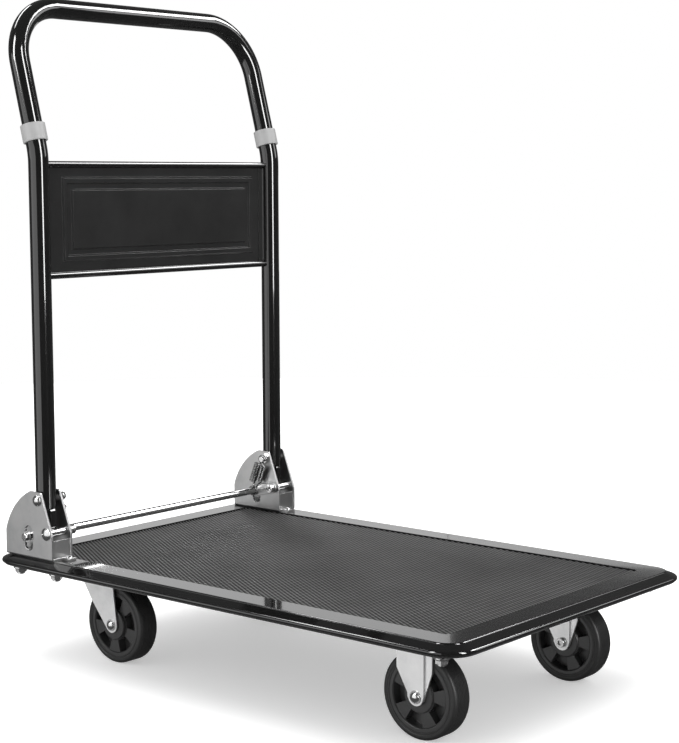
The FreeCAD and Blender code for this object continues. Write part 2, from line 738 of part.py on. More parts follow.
def hub_window(x, angle, y0, y1):
    """Pocket between two spokes: a ring sector with straight sides."""
    half_turn = math.radians(360 / SPOKES * WINDOW_SHARE / 2)

    def at(radius, turn):
        return V(x + radius * math.cos(angle + turn), y0, WHEEL_RADIUS + radius * math.sin(angle + turn))

    face = outline_face([
        at(WINDOW_IN, -half_turn), at(WINDOW_OUT, -half_turn),
        (at(WINDOW_OUT, 0), at(WINDOW_OUT, half_turn)), at(WINDOW_IN, half_turn),
        (at(WINDOW_IN, 0), at(WINDOW_IN, -half_turn)),
    ])
    return face.extrude(V(0, y1 - y0, 0))


def wheel_hub(x, y, end):
    """Plastic hub: bored boss, spokes with pockets on both sides of a thin disc, and a rim for the tyre."""
    nose = LEG_INNER - 0.4
    boss = BOSS_OUT[end]
    rim = TYRE_WIDTH / 2 - 0.5
    bore = HUB_BORE + RUN_GAP
    half = [
        (nose, bore), (nose, NOSE_RADIUS), (boss, NOSE_RADIUS), (boss, BOSS_RADIUS - 1.0),
        (boss - 1.0, BOSS_RADIUS), (SPOKE_OUT, BOSS_RADIUS), (SPOKE_OUT, WINDOW_OUT), (rim, WINDOW_OUT + 1.2),
        (rim, TYRE_INNER),
    ]
    hub = wheel_profile([(-a, r) for a, r in half] + half[::-1], x, y)
    for i in range(SPOKES):
        angle = math.radians(FIRST_WINDOW[end] + 360 / SPOKES * i)
        for way in (1.0, -1.0):
            hub = hub.cut(hub_window(x, angle, y + way * HUB_DISC / 2, y + way * 20.0))
    return hub


# ---- casters -------------------------------------------------------------------------------------
def caster_places():
    """Middle of each caster's top plate."""
    return [(x, s * WHEEL_Y) for x in (FRONT_AXLE_X, KINGPIN_X) for s in (1.0, -1.0)]


def caster_bolt_places():
    return [(x + sx * PLATE_HOLE_X, y + sy * PLATE_HOLE_Y)
            for x, y in caster_places() for sx in (1, -1) for sy in (1, -1)]


def caster_bolts():
    """Hexagonal bolts up through the caster plates, the cross members and the pan."""
    seat = CASTER_HEIGHT - PLATE_THICKNESS
    top = MAT_TOP - MAT_THICKNESS - 0.2
    bolts = []
    for x, y in caster_bolt_places():
        head = hex_prism(HEX, V(x, y, seat - 5.3), V(x, y, seat))
        bolts.append(fuse([head, rod(BOLT, V(x, y, seat), V(x, y, top))]))
    return Part.makeCompound(bolts)


def caster_plate(x, y):
    seat = CASTER_HEIGHT - PLATE_THICKNESS
    plate = rounded_plate(PLATE_LENGTH, PLATE_WIDTH, 8.0, seat, CASTER_HEIGHT, (x, y))
    for sx in (1, -1):
        for sy in (1, -1):
            hole = Part.makeCylinder(BOLT + 0.1, 10, V(x + sx * PLATE_HOLE_X, y + sy * PLATE_HOLE_Y, seat - 5))
            plate = plate.cut(hole)
    return plate


def tapered_leg(rear, front, top, shoulder, y0, y1, x):
    """Upright plate above an axle at x, tapered below the shoulder to a round end about the axle."""
    end = LEG_END
    low = WHEEL_RADIUS - end * 0.44
    face = outline_face([
        V(x - rear, y0, top), V(x - rear, y0, shoulder), V(x - end * 0.9, y0, low),
        (V(x, y0, WHEEL_RADIUS - end), V(x + end * 0.9, y0, low)),
        V(x + front, y0, shoulder), V(x + front, y0, top),
    ])
    return face.extrude(V(0, y1 - y0, 0))


def slab(x0, x1, ya, yb):
    """Full-height block between two planes given in either order."""
    return box(x0, x1, min(ya, yb), max(ya, yb), 0, CASTER_HEIGHT)


def rigid_leg(x, y, side):
    """One leg of a rigid fork, with its middle strip pressed outwards."""
    strip = 11.0
    wing = y + side * (LEG_INNER - LEG_STEP)
    wing_out = wing + side * LEG_SHEET
    out = y + side * (LEG_INNER + LEG_SHEET)
    whole = tapered_leg(LEG_REAR, LEG_FRONT, CASTER_HEIGHT - PLATE_THICKNESS, 79.0, wing, out, x)
    keep = [slab(x - 30, x - strip, wing, wing_out), slab(x + strip, x + 30, wing, wing_out),
            slab(x - strip, x + strip, y + side * LEG_INNER, out)]
    for wall in (x - strip, x + strip - LEG_SHEET):
        keep.append(slab(wall, wall + LEG_SHEET, wing, out))
    return whole.common(fuse(keep))


def rigid_fork(y):
    """Rigid fork: top plate and two legs."""
    x = FRONT_AXLE_X
    fork = fuse([caster_plate(x, y), rigid_leg(x, y, 1.0), rigid_leg(x, y, -1.0)])
    return fork.cut(y_rod(BOLT + 0.1, x, WHEEL_RADIUS, y - 40, y + 40))


def swivel_plate(y):
    """Top plate of a swivel caster, with the upper ball race under it."""
    x = KINGPIN_X
    seat = CASTER_HEIGHT - PLATE_THICKNESS
    race_low = CROWN_TOP + RACE_HEIGHT + 2 * (BALL_RADIUS + BALL_GAP)
    race = ring(RACE_RADIUS + 7, RACE_RADIUS - 8, V(x, y, race_low), V(x, y, seat))
    cap = ring(RACE_RADIUS + 9, RACE_RADIUS + 4, V(x, y, race_low - 5), V(x, y, seat))
    plate = fuse([caster_plate(x, y), race, cap])
    return plate.cut(rod(KINGPIN_RADIUS, V(x, y, race_low - 10), V(x, y, CASTER_HEIGHT + 5)))


def kingpins():
    """Rivets that hold the swivel forks up to their top plates."""
    pins = []
    for s in (1.0, -1.0):
        y = s * WHEEL_Y
        low = CROWN_TOP - CROWN_SHEET - 3.8
        head = Part.makeCone(6.5, 9.0, 3.5, V(KINGPIN_X, y, low))
        pins.append(fuse([head, rod(KINGPIN_RADIUS, V(KINGPIN_X, y, low), V(KINGPIN_X, y, CASTER_HEIGHT))]))
    return Part.makeCompound(pins)


def swivel_balls(y):
    at = CROWN_TOP + RACE_HEIGHT + BALL_RADIUS + BALL_GAP
    balls = []
    for i in range(BALLS):
        angle = 2 * math.pi * i / BALLS
        place = V(KINGPIN_X + RACE_RADIUS * math.cos(angle), y + RACE_RADIUS * math.sin(angle), at)
        balls.append(Part.makeSphere(BALL_RADIUS, place))
    return Part.makeCompound(balls)


def swivel_fork(y):
    """Swivel fork: round crown with the lower race, and two slanted legs."""
    x = KINGPIN_X
    axle = x + TRAIL
    crown_low = CROWN_TOP - CROWN_SHEET
    half = LEG_INNER + LEG_SHEET
    crown = rod(31.0, V(x, y, crown_low), V(x, y, CROWN_TOP))
    bridge = box(x - 28.0, x + 33.0, y - half, y + half, crown_low, CROWN_TOP)
    race = ring(RACE_RADIUS + 3.5, RACE_RADIUS - 8, V(x, y, CROWN_TOP), V(x, y, CROWN_TOP + RACE_HEIGHT))
    pieces = [crown, bridge, race]
    for side in (1.0, -1.0):
        y0 = y + side * LEG_INNER
        face = outline_face([
            V(x - 28.0, y0, CROWN_TOP), V(x - 18.0, y0, 96.0), V(x - 5.0, y0, 77.0),
            V(axle - 8.2, y0, WHEEL_RADIUS - 5.7),
            (V(axle, y0, WHEEL_RADIUS - 10.0), V(axle + 9.9, y0, WHEEL_RADIUS + 1.4)),
            V(x + 34.5, y0, 97.0), V(x + 33.0, y0, CROWN_TOP),
        ])
        pieces.append(face.extrude(V(0, side * LEG_SHEET, 0)))
    fork = fuse(pieces)
    fork = fork.cut(rod(KINGPIN_RADIUS + RUN_GAP, V(x, y, crown_low - 5), V(x, y, CROWN_TOP + 20)))
    return fork.cut(y_rod(BOLT + 0.1, axle, WHEEL_RADIUS, y - 40, y + 40))


def axle_bolt(x, side):
    """Bolt through a fork from its outer side, with a small round head."""
    inner = side * (WHEEL_Y - LEG_INNER - LEG_SHEET)
    outer = side * (WHEEL_Y + LEG_INNER + LEG_SHEET + AXLE_WASHER)
    head = dome_head(5.8, 3.2, V(x, outer, WHEEL_RADIUS), V(0, side, 0))
    return fuse([head, rod(BOLT, V(x, inner - side * AXLE_THREAD, WHEEL_RADIUS), V(x, outer, WHEEL_RADIUS))])


def axle_nut(x, side):
    """Washer under the bolt's head, and the barrel nut on the inner side of the fork."""
    outer = V(x, side * (WHEEL_Y + LEG_INNER + LEG_SHEET), WHEEL_RADIUS)
    inner = V(x, side * (WHEEL_Y - LEG_INNER - LEG_SHEET), WHEEL_RADIUS)
    washer = ring(7.5, BOLT, outer, outer + Y * (side * AXLE_WASHER))
    nut = barrel_nut(inner, inner - Y * (side * AXLE_NUT_LENGTH), 6.0, AXLE_THREAD)
    return Part.makeCompound([washer, nut])


def axle_sleeve(x, side):
    """Steel tube between the fork's legs, which the hub turns on."""
    y = side * WHEEL_Y
    start = V(x, y - LEG_INNER, WHEEL_RADIUS)
    return ring(HUB_BORE, BOLT + HOLE_GAP, start, start + Y * (2 * LEG_INNER))


# ---- all nodes -----------------------------------------------------------------------------------
def save_deck():
    save(deck_shell(), "deck_shell")
    save(deck_mat(), "deck_mat")
    save(cross_members(), "cross_members")
    save(deck_stiffeners(), "deck_stiffeners")
    save(rail_studs(), "rail_studs")
    save(deck_nuts(), "deck_nuts")
    for name, side in SIDES.items():
        save(mirrored(side_rail(), side), "side_rail_" + name)


def save_brackets():
    for name, side in SIDES.items():
        save(mirrored(bracket(), side), "bracket_" + name)
    save(bracket_bolts(), "bracket_bolts")
    save(tab_screws(), "tab_screws")
    save(both_sides(cross_bolt(LEVER_X, LEVER_Z, 8.0, 3.4, LEVER_NUT_Y - LEVER_THREAD)), "lever_bolts")
    save(both_sides(cross_bolt(PIVOT_X, PIVOT_Z, 7.0, 5.0, SPRING_Y - 3.0)), "handle_bolts")
    save(pivot_nuts(), "pivot_nuts")
    save(pivot_spacers(), "pivot_spacers")


def save_handle():
    for name, side in SIDES.items():
        save(mirrored(lower_tube(), side), "lower_tube_" + name)
        save(mirrored(collar(), side), "collar_" + name)
        save(mirrored(handle_foot(), side), "handle_foot_" + name)
    save(upper_loop(), "upper_loop")
    save(back_panel(), "back_panel")
    save(panel_rails(), "panel_rails")


def save_lock():
    save(foot_bar(), "foot_bar")
    save(bar_clips(), "bar_clips")
    for name, side in SIDES.items():
        save(mirrored(lock_lever(), side), "lock_lever_" + name)
        save(mirrored(lock_springs(), side), "lock_springs_" + name)


def save_casters():
    save(caster_bolts(), "caster_bolts")
    save(kingpins(), "kingpins")
    rear_x = KINGPIN_X + TRAIL
    for kind, maker in (("bolts", axle_bolt), ("nuts", axle_nut), ("sleeves", axle_sleeve)):
        pair = Part.makeCompound([maker(FRONT_AXLE_X, side) for side in SIDES.values()])
        save(pair, "front_axle_" + kind)
    for name, side in SIDES.items():
        y = side * WHEEL_Y
        save(rigid_fork(y), "rigid_fork_" + name)
        save(swivel_plate(y), "swivel_plate_" + name)
        save(swivel_fork(y), "swivel_fork_" + name)
        save(swivel_balls(y), "swivel_balls_" + name)
        save(axle_bolt(rear_x, side), "rear_axle_bolt_" + name)
        save(axle_nut(rear_x, side), "rear_axle_nut_" + name)
        save(axle_sleeve(rear_x, side), "rear_axle_sleeve_" + name)
        for end, x in (("front", FRONT_AXLE_X), ("rear", rear_x)):
            save(wheel_hub(x, y, end), "hub_" + end + "_" + name)
            save(tyre(x, y), "tyre_" + end + "_" + name)


os.makedirs("parts", exist_ok=True)
save_deck()
save_brackets()
save_handle()
save_lock()
save_casters()
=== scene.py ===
"""Folding platform cart: finishes, fine detail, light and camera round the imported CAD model.

Lengths are metres, apart from the named sizes that say millimetres.
"""

import json
import math

import bmesh
import bpy
from mathutils import Matrix, Vector


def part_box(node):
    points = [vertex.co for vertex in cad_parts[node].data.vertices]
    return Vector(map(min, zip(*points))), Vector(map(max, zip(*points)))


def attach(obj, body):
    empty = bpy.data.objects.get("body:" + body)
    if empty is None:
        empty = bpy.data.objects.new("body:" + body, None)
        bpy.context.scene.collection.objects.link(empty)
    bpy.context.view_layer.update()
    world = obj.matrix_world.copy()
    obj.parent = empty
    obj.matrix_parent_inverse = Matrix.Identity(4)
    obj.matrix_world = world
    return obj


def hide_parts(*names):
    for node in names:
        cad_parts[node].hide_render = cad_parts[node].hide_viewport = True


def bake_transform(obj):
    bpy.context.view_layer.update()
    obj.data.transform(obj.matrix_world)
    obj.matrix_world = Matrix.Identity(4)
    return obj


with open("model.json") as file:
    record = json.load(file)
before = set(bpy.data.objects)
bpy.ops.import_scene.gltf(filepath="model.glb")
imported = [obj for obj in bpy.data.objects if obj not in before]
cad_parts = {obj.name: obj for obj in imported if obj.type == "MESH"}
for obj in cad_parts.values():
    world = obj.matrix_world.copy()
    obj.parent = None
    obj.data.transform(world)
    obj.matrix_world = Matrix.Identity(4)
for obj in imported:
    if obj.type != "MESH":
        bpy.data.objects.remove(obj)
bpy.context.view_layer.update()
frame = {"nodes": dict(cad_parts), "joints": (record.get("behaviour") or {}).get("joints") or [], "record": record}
NODES = frame["nodes"]
BODIES = frame["record"]["behaviour"]["bodies"]
BODY_OF = {node: body for body, members in BODIES.items() for node in members}
SIDES = {"left": 1.0, "right": -1.0}
MM = 0.001

# Mat pattern and edge, in millimetres apart from the angle of its rows to the deck's length.
MAT_PITCH = 4.8
MAT_ROW_DEG = 30.0
MAT_RELIEF = 1.3
MAT_NOTCH = 0.35
MAT_EDGE = 0.9
MAT_CORNER = 4.6


# ---- material building blocks --------------------------------------------------------------------
class Nodes:
    """Short names for the shader nodes that the finishes use."""

    def __init__(self, name):
        self.material = bpy.data.materials.new(name)
        self.material.use_nodes = True
        self.tree = self.material.node_tree
        self.shader = self.tree.nodes["Principled BSDF"]
        self.place = self.tree.nodes.new("ShaderNodeTexCoord").outputs["Object"]

    def link(self, a, b):
        self.tree.links.new(a, b)

    def set(self, **values):
        for name, value in values.items():
            self.shader.inputs[name.replace("_", " ")].default_value = value

    def stretch(self, scale):
        node = self.tree.nodes.new("ShaderNodeMapping")
        node.inputs["Scale"].default_value = scale
        self.link(self.place, node.inputs["Vector"])
        return node.outputs["Vector"]

    def noise(self, scale, detail, roughness=0.55, place=None):
        node = self.tree.nodes.new("ShaderNodeTexNoise")
        node.inputs["Scale"].default_value = scale
        node.inputs["Detail"].default_value = detail
        node.inputs["Roughness"].default_value = roughness
        self.link(place or self.place, node.inputs["Vector"])
        return node.outputs["Fac"]

    def ramp(self, value, stops):
        node = self.tree.nodes.new("ShaderNodeValToRGB")
        node.color_ramp.elements[0].position = stops[0][0]
        node.color_ramp.elements[0].color = stops[0][1]
        node.color_ramp.elements[1].position = stops[-1][0]
        node.color_ramp.elements[1].color = stops[-1][1]
        for position, colour in stops[1:-1]:
            node.color_ramp.elements.new(position).color = colour
        self.link(value, node.inputs["Fac"])
        return node.outputs["Color"]

    def span(self, value, low, high, source=(0.0, 1.0)):
        node = self.tree.nodes.new("ShaderNodeMapRange")
        node.inputs["From Min"].default_value = source[0]
        node.inputs["From Max"].default_value = source[1]
        node.inputs["To Min"].default_value = low
        node.inputs["To Max"].default_value = high
        self.link(value, node.inputs["Value"])
        return node.outputs["Result"]

    def bump(self, height, strength, distance, below=None):
        node = self.tree.nodes.new("ShaderNodeBump")
        node.inputs["Strength"].default_value = strength
        node.inputs["Distance"].default_value = distance
        self.link(height, node.inputs["Height"])
        if below is not None:
            self.link(below, node.inputs["Normal"])
        return node.outputs["Normal"]

    def finish(self, colour, rough, normal):
        for value, name in ((colour, "Base Color"), (rough, "Roughness"), (normal, "Normal")):
            self.link(value, self.shader.inputs[name])
        return self.material


def grey(value, warm=0.0):
    return (value + warm, value, value - warm, 1.0)


# ---- finishes ------------------------------------------------------------------------------------
# How far the noise is stretched along each axis for rolled sheet and for handling scratches.
SHEET_GRAIN = (60.0, 60.0, 900.0)
SCRATCH_GRAIN = (1400.0, 90.0, 1400.0)


def gloss_paint(name):
    """Stoved gloss enamel with a faint orange peel and slightly uneven gloss."""
    n = Nodes(name)
    n.set(IOR=1.5, Coat_Weight=0.6, Coat_Roughness=0.03)
    colour = n.ramp(n.noise(9.0, 5.0), [(0.3, grey(0.0035)), (0.7, grey(0.006))])
    peel = n.bump(n.noise(520.0, 2.0), 0.03, 0.0002)
    return n.finish(colour, n.span(n.noise(38.0, 6.0, 0.6), 0.06, 0.12), peel)


def satin_paint(name):
    """Lower-gloss black enamel for the pressed panel."""
    n = Nodes(name)
    n.set(IOR=1.45)
    colour = n.ramp(n.noise(14.0, 5.0), [(0.3, grey(0.016)), (0.7, grey(0.022))])
    peel = n.bump(n.noise(900.0, 3.0), 0.05, 0.0002)
    return n.finish(colour, n.span(n.noise(60.0, 5.0), 0.11, 0.16), peel)


def zinc_sheet(name, base, rough):
    """Zinc-plated sheet steel: rolling grain, a cloudy passivated film and light rubs."""
    n = Nodes(name)
    n.set(Metallic=1.0)
    cloud = n.noise(22.0, 6.0, 0.65)
    dull, bright = grey(base * 0.86, -0.004), grey(base * 1.1, 0.003)
    colour = n.ramp(cloud, [(0.3, dull), (0.5, grey(base)), (0.75, bright)])
    lines = n.noise(1.0, 3.0, 0.5, n.stretch(SHEET_GRAIN))
    spots = n.noise(420.0, 3.0)
    normal = n.bump(lines, 0.10, 0.0002)
    normal = n.bump(spots, 0.05, 0.0001, normal)
    return n.finish(colour, n.span(n.noise(75.0, 6.0, 0.7), *rough), normal)


def bright_metal(name, base, rough, scratch=0.05):
    """Plated hardware: polished metal with fine handling scratches."""
    n = Nodes(name)
    n.set(Metallic=1.0)
    colour = n.ramp(n.noise(120.0, 5.0), [(0.3, grey(base * 0.9)), (0.7, grey(base))])
    lines = n.noise(1.0, 4.0, 0.6, n.stretch(SCRATCH_GRAIN))
    return n.finish(colour, n.span(n.noise(160.0, 6.0, 0.7), *rough), n.bump(lines, scratch, 0.0001))


def moulded(name, low, high, rough, grain, strength, spec=0.4):
    """Moulded plastic or rubber with a fine spark-eroded grain and uneven sheen."""
    n = Nodes(name)
    n.set(Specular_IOR_Level=spec)
    colour = n.ramp(n.noise(26.0, 6.0, 0.6), [(0.3, grey(low)), (0.7, grey(high))])
    normal = n.bump(n.noise(grain, 3.0), strength, 0.0002)
    return n.finish(colour, n.span(n.noise(48.0, 5.0), *rough), normal)


def mat_rubber(name):
    """Ribbed rubber sheet: black in its valleys as painted shade, lighter grey on its rib tops as partly real wear
    and partly painted highlight.
    """
    n = Nodes(name)
    n.set(Specular_IOR_Level=0.4)
    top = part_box("deck_mat")[1].z
    place = n.tree.nodes.new("ShaderNodeSeparateXYZ")
    n.link(n.place, place.inputs["Vector"])
    height = n.span(place.outputs["Z"], 0.0, 1.0, (top - MAT_RELIEF * MM, top))
    wear = n.span(n.noise(7.0, 7.0, 0.62), 0.55, 1.0)
    painted_light_and_wear = n.tree.nodes.new("ShaderNodeMath")
    painted_light_and_wear.operation = "MULTIPLY"
    n.link(height, painted_light_and_wear.inputs[0])
    n.link(wear, painted_light_and_wear.inputs[1])
    # Colour from height times a wear noise: the black valleys are painted shade, the grey rib tops are partly wear
    # and partly painted highlight.
    colour = n.ramp(painted_light_and_wear.outputs["Value"], [(0.22, grey(0.0015)), (0.38, grey(0.012)), (0.70, grey(0.19))])
    normal = n.bump(n.noise(1300.0, 2.0), 0.08, 0.0001)
    return n.finish(colour, n.span(n.noise(30.0, 5.0), 0.30, 0.42), normal)


FINISH = {
    "gloss": gloss_paint("enamel_gloss"),
    "panel": satin_paint("enamel_satin"),
    "mat": mat_rubber("mat_rubber"),
    "bracket": zinc_sheet("zinc_bracket", 0.46, (0.28, 0.40)),
    "fork": zinc_sheet("zinc_fork", 0.88, (0.34, 0.48)),
    "chrome": bright_metal("chrome_bar", 0.80, (0.04, 0.10), 0.03),
    # The spring wire's dark colour is painted shade: it stands in for the dark stripes between close coils.
    "spring": bright_metal("spring_wire_dark_as_coil_shade", 0.22, (0.12, 0.22)),
    "hardware": bright_metal("zinc_bolts", 0.62, (0.16, 0.28), 0.08),
    "collar": moulded("collar_plastic", 0.30, 0.35, (0.42, 0.55), 700.0, 0.12),
    "tyre": moulded("tyre_rubber", 0.010, 0.018, (0.42, 0.58), 1100.0, 0.22, 0.5),
    "hub": moulded("hub_plastic", 0.020, 0.030, (0.30, 0.42), 800.0, 0.12, 0.5),
}


# ---- pieces from the CAD solids ------------------------------------------------------------------
MERGE_DISTANCE = 2e-6
FLAT_DEG = 0.4
BEVEL_DEG = 32
SMOOTH_DEG = 34


def clean_mesh(node):
    """A copy of a CAD node's mesh, with its flat faces merged back into single polygons."""
    mesh = NODES[node].data.copy()
    work = bmesh.new()
    work.from_mesh(mesh)
    bmesh.ops.remove_doubles(work, verts=work.verts, dist=MERGE_DISTANCE)
    bmesh.ops.dissolve_limit(work, angle_limit=math.radians(FLAT_DEG), verts=work.verts, edges=work.edges)
    work.to_mesh(mesh)
    work.free()
    return mesh


def add_object(name, mesh):
    obj = bpy.data.objects.new(name, mesh)
    bpy.context.scene.collection.objects.link(obj)
    return obj


def face_outwards(mesh):
    work = bmesh.new()
    work.from_mesh(mesh)
    bmesh.ops.recalc_face_normals(work, faces=work.faces)
    work.to_mesh(mesh)
    work.free()


def finish_piece(obj, node, material):
    obj.data.materials.clear()
    obj.data.materials.append(material)
    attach(obj, BODY_OF[node])
    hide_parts(node)


def eased(node, width, material, segments=2):
    """Stands for a CAD node: the same solid with its sharp edges eased by width, in millimetres."""
    obj = add_object(node + "_piece", clean_mesh(node))
    bevel = obj.modifiers.new("edges", "BEVEL")
    bevel.width = width * MM
    bevel.segments = segments
    bevel.limit_method = "ANGLE"
    bevel.angle_limit = math.radians(BEVEL_DEG)
    bevel.use_clamp_overlap = True
    smooth(obj.data, SMOOTH_DEG)
    normals = obj.modifiers.new("normals", "WEIGHTED_NORMAL")
    normals.keep_sharp = True
    normals.weight = 100
    finish_piece(obj, node, FINISH[material])


def smooth(mesh, angle):
    mesh.shade_smooth()
    mesh.set_sharp_from_angle(angle=math.radians(angle))


def both(*stems):
    return [stem + "_" + side for stem in stems for side in SIDES]


# ---- mat -----------------------------------------------------------------------------------------
def within_corner(x, y, half_x, half_y, radius):
    """Pulls a point in past a rounded corner back onto the corner's arc."""
    dx = abs(x) - half_x + radius
    dy = abs(y) - half_y + radius
    reach = math.hypot(dx, dy)
    if dx <= 0 or dy <= 0 or reach <= radius:
        return x, y
    share = radius / reach
    return math.copysign(half_x - radius + dx * share, x), math.copysign(half_y - radius + dy * share, y)


def border_indices(columns, rows):
    """Indices of a grid's border points, in order round it."""
    border = [i * rows for i in range(columns)]
    border += [(columns - 1) * rows + j for j in range(1, rows)]
    border += [i * rows + rows - 1 for i in range(columns - 2, -1, -1)]
    return border + list(range(rows - 2, 0, -1))


def mat_top(middle, half_x, half_y, top, columns, rows):
    """Points of the mat's upper side: high diagonal ribs, notched along their length, with valleys between."""
    points = []
    for i in range(columns):
        for j in range(rows):
            x = half_x * (2 * i / (columns - 1) - 1)
            y = half_y * (2 * j / (rows - 1) - 1)
            x, y = within_corner(x, y, half_x, half_y, (MAT_CORNER - MAT_EDGE) * MM)
            notch = MAT_NOTCH if i % 2 else 0.0
            drop = notch if (i + j) % 2 else MAT_RELIEF
            points.append((middle.x + x, middle.y + y, top - drop * MM))
    return points


def mat_ring(border, verts, middle, half_x, half_y, level):
    """The border points moved out to the mat's full size, at one height."""
    ring = []
    for k in border:
        x = (verts[k][0] - middle.x) * half_x / (half_x - MAT_EDGE * MM)
        y = (verts[k][1] - middle.y) * half_y / (half_y - MAT_EDGE * MM)
        x, y = within_corner(x, y, half_x, half_y, MAT_CORNER * MM)
        ring.append((middle.x + x, middle.y + y, level))
    return ring


def mat_faces(columns, rows, border, first):
    """Upper side, then bevel, edge and underside; first is the index where the outer ring starts."""
    faces = []
    for i in range(columns - 1):
        for j in range(rows - 1):
            a, b, c, d = i * rows + j, (i + 1) * rows + j, (i + 1) * rows + j + 1, i * rows + j + 1
            faces += [(a, b, d), (b, c, d)]
    size = len(border)
    for k in range(size):
        after = (k + 1) % size
        faces.append((border[k], first + k, first + after, border[after]))
        faces.append((first + k, first + size + k, first + size + after, first + after))
    faces.append(tuple(range(first + size, first + 2 * size)))
    return faces


def build_mat():
    """Rubber sheet covered in notched diagonal ribs."""
    low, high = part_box("deck_mat")
    middle = (low + high) / 2
    half_x, half_y = (high.x - low.x) / 2, (high.y - low.y) / 2
    top_x, top_y = half_x - MAT_EDGE * MM, half_y - MAT_EDGE * MM
    step_x = MAT_PITCH * MM
    step_y = step_x * math.tan(math.radians(MAT_ROW_DEG))
    columns = int(2 * top_x / step_x) + 1
    rows = int(2 * top_y / step_y) + 1
    verts = mat_top(middle, top_x, top_y, high.z, columns, rows)
    border = border_indices(columns, rows)
    faces = mat_faces(columns, rows, border, len(verts))
    for level in (high.z - MAT_RELIEF * MM, low.z):
        verts += mat_ring(border, verts, middle, half_x, half_y, level)
    mesh = bpy.data.meshes.new("deck_mat_piece")
    mesh.from_pydata(verts, [], faces)
    mesh.validate()
    face_outwards(mesh)
    finish_piece(add_object("deck_mat_piece", mesh), "deck_mat", FINISH["mat"])


# ---- wheels --------------------------------------------------------------------------------------
LATHE_STEPS = 192
LATHE_SMOOTH_DEG = 38

# Tyre detail, in millimetres; the ring is the shallow channel in each side wall.
TYRE_DEPTH = 9.0
RING_DEPTH = 0.35
RING_EDGES = (1.2, 1.6, 2.6, 3.0)
WALL_TOP = 4.3
SHOULDER_RADIUS = 4.2
SHOULDER_STEPS = 6
TREAD_GROOVES = 7
GROOVE_DEPTH = 0.45
GROOVE_MOUTH = 0.35
GROOVE_FLOOR = 0.15


def lathe(name, profile, centre):
    """Closed ring turned about the Y axis through centre, from (distance along Y, radius) points."""
    verts = []
    faces = []
    size = len(profile)
    for i in range(LATHE_STEPS):
        angle = 2 * math.pi * i / LATHE_STEPS
        across, up = math.cos(angle), math.sin(angle)
        for y, radius in profile:
            verts.append((centre.x + radius * across, centre.y + y, centre.z + radius * up))
        after = (i + 1) % LATHE_STEPS
        for k in range(size):
            k2 = (k + 1) % size
            faces.append((i * size + k, i * size + k2, after * size + k2, after * size + k))
    mesh = bpy.data.meshes.new(name)
    mesh.from_pydata(verts, [], faces)
    face_outwards(mesh)
    smooth(mesh, LATHE_SMOOTH_DEG)
    return add_object(name, mesh)


def tyre_side(half, inner, radius):
    """One side wall with its shallow ring, from the rim outwards."""
    start, sunk_from, sunk_to, end = RING_EDGES
    return [(half, inner), (half, inner + start), (half - RING_DEPTH, inner + sunk_from),
            (half - RING_DEPTH, inner + sunk_to), (half, inner + end), (half, radius - WALL_TOP)]


def tyre_shoulder(half, radius):
    """Rounded corner from a side wall to the tread."""
    turn = SHOULDER_RADIUS
    points = []
    for k in range(1, SHOULDER_STEPS + 1):
        angle = math.radians(90 * k / SHOULDER_STEPS)
        points.append((half - turn + turn * math.cos(angle), radius - turn + turn * math.sin(angle)))
    return points


def tyre_tread(half, radius):
    """Evenly spaced grooves across the flat of the tread."""
    points = []
    flat = 2 * (half - SHOULDER_RADIUS)
    floor = radius - GROOVE_DEPTH
    for g in range(1, TREAD_GROOVES + 1):
        at = half - SHOULDER_RADIUS - flat * g / (TREAD_GROOVES + 1)
        points += [(at + GROOVE_MOUTH, radius), (at + GROOVE_FLOOR, floor)]
        points += [(at - GROOVE_FLOOR, floor), (at - GROOVE_MOUTH, radius)]
    return points


def build_tyre(node):
    """Tyre with shallow grooves round its tread, rounded shoulders and a shallow ring in each side wall."""
    low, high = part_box(node)
    centre = (low + high) / 2
    half = (high.y - low.y) / 2 / MM
    radius = (high.z - low.z) / 2 / MM
    outline = tyre_side(half, radius - TYRE_DEPTH, radius) + tyre_shoulder(half, radius)
    profile = outline + tyre_tread(half, radius) + [(-y, r) for y, r in outline[::-1]]
    obj = lathe(node + "_piece", [(y * MM, r * MM) for y, r in profile], centre)
    finish_piece(obj, node, FINISH["tyre"])


# ---- springs -------------------------------------------------------------------------------------
WIRE_SIDES = 10
WIRE_SMOOTH_DEG = 50


def tube_along(name, points, radius):
    """Round wire swept along points, with closed ends."""
    verts = []
    faces = []
    sides = WIRE_SIDES
    across = None
    for i, point in enumerate(points):
        way = (points[min(i + 1, len(points) - 1)] - points[max(i - 1, 0)]).normalized()
        if across is None:
            across = way.orthogonal().normalized()
        across = (across - way * across.dot(way)).normalized()
        other = way.cross(across)
        for k in range(sides):
            angle = 2 * math.pi * k / sides
            verts.append(point + across * (radius * math.cos(angle)) + other * (radius * math.sin(angle)))
    for i in range(len(points) - 1):
        for k in range(sides):
            k2 = (k + 1) % sides
            faces.append((i * sides + k, i * sides + k2, (i + 1) * sides + k2, (i + 1) * sides + k))
    faces.append(tuple(range(sides))[::-1])
    faces.append(tuple((len(points) - 1) * sides + k for k in range(sides)))
    mesh = bpy.data.meshes.new(name)
    mesh.from_pydata([tuple(v) for v in verts], [], faces)
    smooth(mesh, WIRE_SMOOTH_DEG)
    return add_object(name, mesh)


def joint(name):
    return next(j for j in frame["joints"] if j["name"] == name)


# Springs, in millimetres.
SPRING_RADIUS = 4.0
SPRING_WIRE = 0.95
SPRING_TURNS = 11
COIL_STEPS = 20
COIL_TOP_GAP = 9.5
BAR_HOOK_RADIUS = 6.0
BOLT_HOOK_RADIUS = 5.0
HOOK_DEG = 250
HOOK_STEPS = 18
# How far from the bar and from the handle bolt the stretch starts and ends.
# Each spring's offset across the pull line, gap from the bar to its first coil, and hook offset along Y.
SPRINGS = ((-5.6, 12.0, -1.5), (5.6, 18.5, 0.6))


